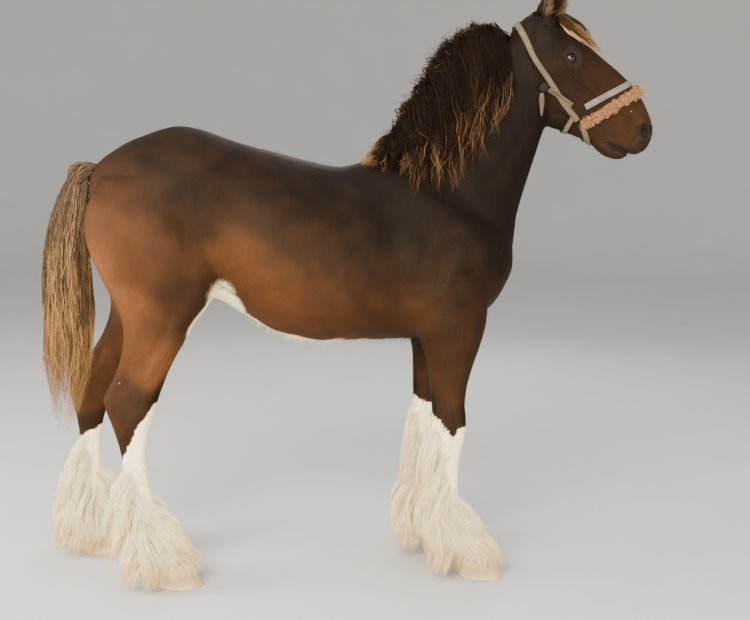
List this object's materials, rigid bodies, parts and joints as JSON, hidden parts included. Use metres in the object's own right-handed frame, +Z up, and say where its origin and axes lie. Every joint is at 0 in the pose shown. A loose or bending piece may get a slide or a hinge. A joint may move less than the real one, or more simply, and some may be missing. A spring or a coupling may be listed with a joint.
{
  "type": "standing shire horse",
  "caption": "Life-size heavy draught horse standing at rest, with mane, tail, feathered lower legs and a headcollar.",
  "frame": {"origin": "on the floor, under the middle of the horse's bounding box", "axes": "+X toward the horse's head, +Y to its left side, +Z up"},
  "size_m": [2.306, 0.6719, 2.2604],
  "materials": {
    "coat": "short glossy bay hair, dark along the back",
    "stocking": "long silky cream hair",
    "tail_hair": "long coarse flaxen hair",
    "hoof": "dull amber horn",
    "eye": "wet and glossy",
    "webbing": "woven beige webbing",
    "nose_webbing": "flat grey webbing",
    "fleece": "tan fleece",
    "leather": "dark waxed leather"
  },
  "bodies": {
    "root": {"head": "coat", "neck": "coat", "torso": "coat", "tail": "tail_hair", "ear_right": "coat", "ear_left": "coat", "eye_right": "eye", "eye_left": "eye", "leg_fore_right": "coat", "cannon_fore_right": "stocking", "hoof_fore_right": "hoof", "leg_fore_left": "coat", "cannon_fore_left": "stocking", "hoof_fore_left": "hoof", "leg_hind_right": "coat", "cannon_hind_right": "stocking", "hoof_hind_right": "hoof", "leg_hind_left": "coat", "cannon_hind_left": "stocking", "hoof_hind_left": "hoof", "halter_crown_strap": "webbing", "halter_fleece_noseband": "fleece", "halter_nose_strap": "nose_webbing", "halter_chin_strap": "webbing", "halter_jaw_strap": "webbing", "halter_strap_end_right": "webbing", "halter_strap_end_left": "webbing", "halter_hanging_end_right": "webbing", "halter_hanging_end_left": "webbing", "halter_toggle_right": "leather", "halter_toggle_left": "leather"}
  },
  "joints": []
}
